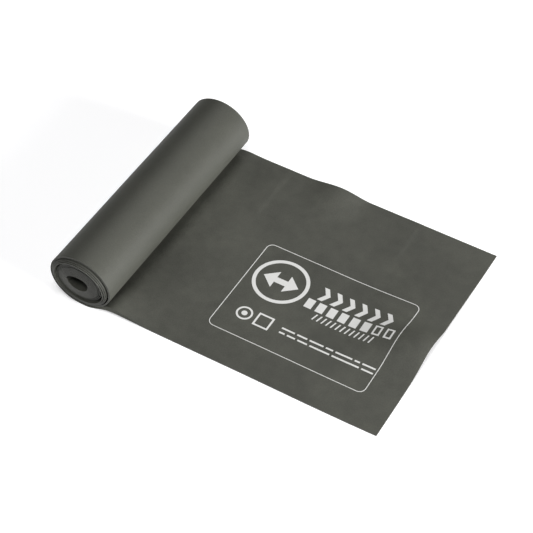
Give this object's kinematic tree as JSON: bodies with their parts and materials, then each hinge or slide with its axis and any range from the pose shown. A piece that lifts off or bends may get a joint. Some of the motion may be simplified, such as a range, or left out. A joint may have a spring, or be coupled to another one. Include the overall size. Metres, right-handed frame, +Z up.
{
  "type": "flat resistance band",
  "caption": "Flat elastic exercise band wound into a roll, with its printed free end laid out flat.",
  "frame": {"origin": "centre of the footprint, on the surface that the band lies on", "axes": "+X along the laid-out strip towards its free end, +Y across the strip, +Z up"},
  "size_m": [0.1996, 0.15, 0.0372],
  "materials": {
    "band": "matte thermoplastic elastomer",
    "print_ink": "flat screen print"
  },
  "bodies": {
    "strip_lead": {"strip_lead": "band"},
    "roll_touchdown": {"roll_touchdown": "band"},
    "wound_roll": {"wound_roll": "band"},
    "strip_panel": {"strip_panel": "band", "print_border": "print_ink", "print_emblem_ring": "print_ink", "print_emblem_arrow": "print_ink", "print_chevrons": "print_ink", "print_strength_scale": "print_ink", "print_dashes": "print_ink", "print_symbols": "print_ink", "print_care_lines": "print_ink"},
    "strip_free_end": {"strip_free_end": "band"}
  },
  "joints": [
    {"name": "unroll_travel", "type": "slide", "parent": "strip_lead", "child": "roll_touchdown", "axis": [-1, 0, 0], "range_m": [0, 0.1153], "deforming": ["roll_touchdown", "strip_lead"]},
    {"name": "roll_turn", "type": "hinge", "parent": "roll_touchdown", "child": "wound_roll", "pos_m": [-0.0812, 0, 0.0186], "axis": [0, -1, 0], "range_deg": [0, 361]},
    {"name": "fold", "type": "hinge", "parent": "strip_lead", "child": "strip_panel", "pos_m": [-0.0272, 0, 0.0005], "axis": [0, -1, 0], "range_deg": [0, 135]},
    {"name": "stretch", "type": "slide", "parent": "strip_panel", "child": "strip_free_end", "axis": [1, 0, 0], "range_m": [0, 0.112], "stiffness_N_per_m": 320, "deforming": ["strip_panel"]}
  ],
  "couplings": [
    {"joint": "roll_turn", "follows": "unroll_travel", "rad_per_m": 54.496}
  ]
}
